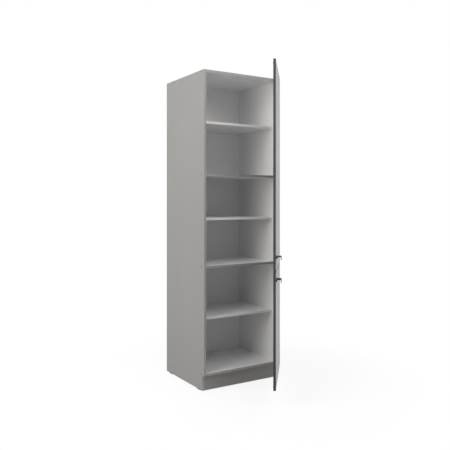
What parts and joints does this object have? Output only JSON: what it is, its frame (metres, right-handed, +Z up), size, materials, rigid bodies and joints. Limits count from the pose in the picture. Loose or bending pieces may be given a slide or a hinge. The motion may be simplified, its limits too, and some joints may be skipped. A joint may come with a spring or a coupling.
{
  "type": "tall kitchen cabinet",
  "caption": "Tall narrow kitchen storage cabinet with hinged upper and lower doors, fixed and adjustable shelves, a recessed plinth and a service void behind the back.",
  "frame": {"origin": "floor level, at the centre of the underside of the front left glide", "axes": "+X to the right seen from the front, +Y from the front to the wall behind, +Z up"},
  "size_m": [0.6134, 1.0439, 2.137],
  "materials": {
    "carcass_board": "melamine faced board, grey outside and near white inside",
    "shelf_board": "near white melamine faced board",
    "back_board": "near white faced hardboard",
    "door_board": "light grey faced board",
    "door_band": "dark brown grey edge band",
    "handle_metal": "dark satin nickel",
    "fitting_steel": "nickel plated",
    "dowel_wood": "bare beech",
    "glide_plastic": "black moulded plastic",
    "pin_plastic": "white moulded plastic",
    "bumper": "clear soft pad"
  },
  "bodies": {
    "cabinet": {"left_side_panel": "carcass_board", "right_side_panel": "carcass_board", "bottom_panel": "carcass_board", "lower_fixed_shelf": "carcass_board", "upper_fixed_shelf": "carcass_board", "top_panel": "carcass_board", "lower_back_board": "back_board", "upper_back_board": "back_board", "plinth_board": "carcass_board", "rear_plinth_board": "carcass_board", "wall_rail": "carcass_board", "left_carcass_screws": "fitting_steel", "right_carcass_screws": "fitting_steel", "plinth_dowels": "dowel_wood", "rail_dowels": "dowel_wood", "back_nails": "fitting_steel", "front_left_glide": "glide_plastic", "rear_left_glide": "glide_plastic", "front_right_glide": "glide_plastic", "rear_right_glide": "glide_plastic", "top_shelf_pins": "pin_plastic", "middle_shelf_pins": "pin_plastic", "lower_shelf_pins": "pin_plastic", "lower_hinge_1_arm": "fitting_steel", "lower_hinge_2_arm": "fitting_steel", "upper_hinge_1_arm": "fitting_steel", "upper_hinge_2_arm": "fitting_steel", "upper_hinge_3_arm": "fitting_steel", "hinge_arm_screws": "fitting_steel", "hinge_pins": "fitting_steel"},
    "upper_door": {"upper_door": "door_board", "upper_door_bands": "door_band", "upper_door_bumpers": "bumper", "upper_handle": "handle_metal", "upper_handle_screws": "fitting_steel", "upper_hinge_leaf_screws": "fitting_steel", "upper_hinge_1_cup": "fitting_steel", "upper_hinge_2_cup": "fitting_steel", "upper_hinge_3_cup": "fitting_steel"},
    "lower_door": {"lower_door": "door_board", "lower_door_bands": "door_band", "lower_door_bumpers": "bumper", "lower_handle": "handle_metal", "lower_handle_screws": "fitting_steel", "lower_hinge_leaf_screws": "fitting_steel", "lower_hinge_1_cup": "fitting_steel", "lower_hinge_2_cup": "fitting_steel"},
    "top_shelf": {"top_shelf": "shelf_board"},
    "middle_shelf": {"middle_shelf": "shelf_board"},
    "lower_shelf": {"lower_shelf": "shelf_board"}
  },
  "joints": [
    {"name": "upper_door_swing", "type": "hinge", "parent": "cabinet", "child": "upper_door", "pos_m": [0.5948, -0.07925, 1.48275], "axis": [0, 0, 1], "range_deg": [-50.5, 59.5]},
    {"name": "lower_door_swing", "type": "hinge", "parent": "cabinet", "child": "lower_door", "pos_m": [0.5948, -0.07925, 0.46375], "axis": [0, 0, 1], "range_deg": [-50.5, 59.5]},
    {"name": "top_shelf_lift", "type": "slide", "parent": "cabinet", "child": "top_shelf", "axis": [0, 0, 1], "range_m": [0, 0.03]},
    {"name": "middle_shelf_lift", "type": "slide", "parent": "cabinet", "child": "middle_shelf", "axis": [0, 0, 1], "range_m": [0, 0.03]},
    {"name": "lower_shelf_lift", "type": "slide", "parent": "cabinet", "child": "lower_shelf", "axis": [0, 0, 1], "range_m": [0, 0.03]}
  ]
}
